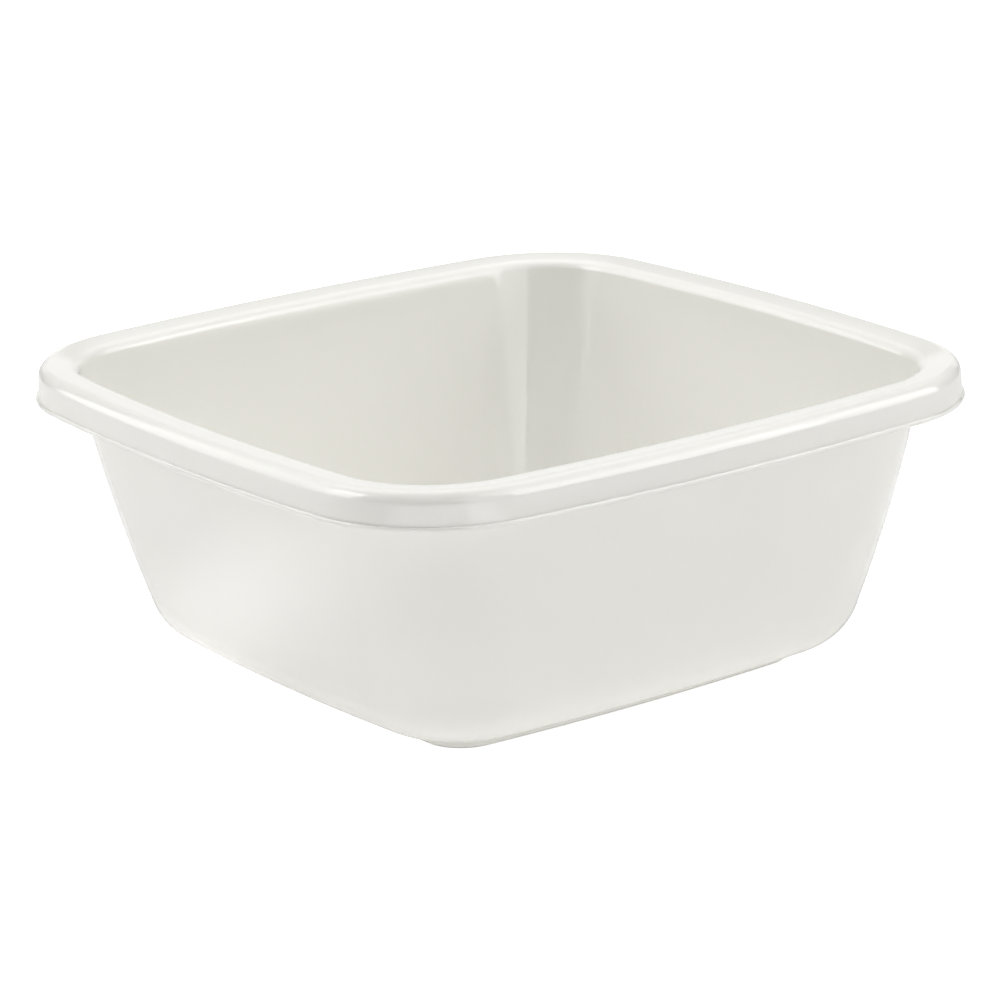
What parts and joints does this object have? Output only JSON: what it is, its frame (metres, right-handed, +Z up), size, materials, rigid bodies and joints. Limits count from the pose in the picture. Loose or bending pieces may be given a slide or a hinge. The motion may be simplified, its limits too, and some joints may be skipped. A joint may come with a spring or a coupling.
{
  "type": "washing basin",
  "caption": "Open square basin with round corners, sloping walls and a flat rim turned down at its edge, for washing up or doing laundry by hand.",
  "frame": {"origin": "centre of the basin on the plane that its foot ring stands on", "axes": "+Z up out of the mouth, +X and +Y through the middles of two sides of the square"},
  "size_m": [0.38, 0.38, 0.1515],
  "materials": {
    "ivory_polypropylene": "glossy, off-white with a slight warm cast"
  },
  "bodies": {
    "root": {"basin_shell": "ivory_polypropylene"}
  },
  "joints": []
}
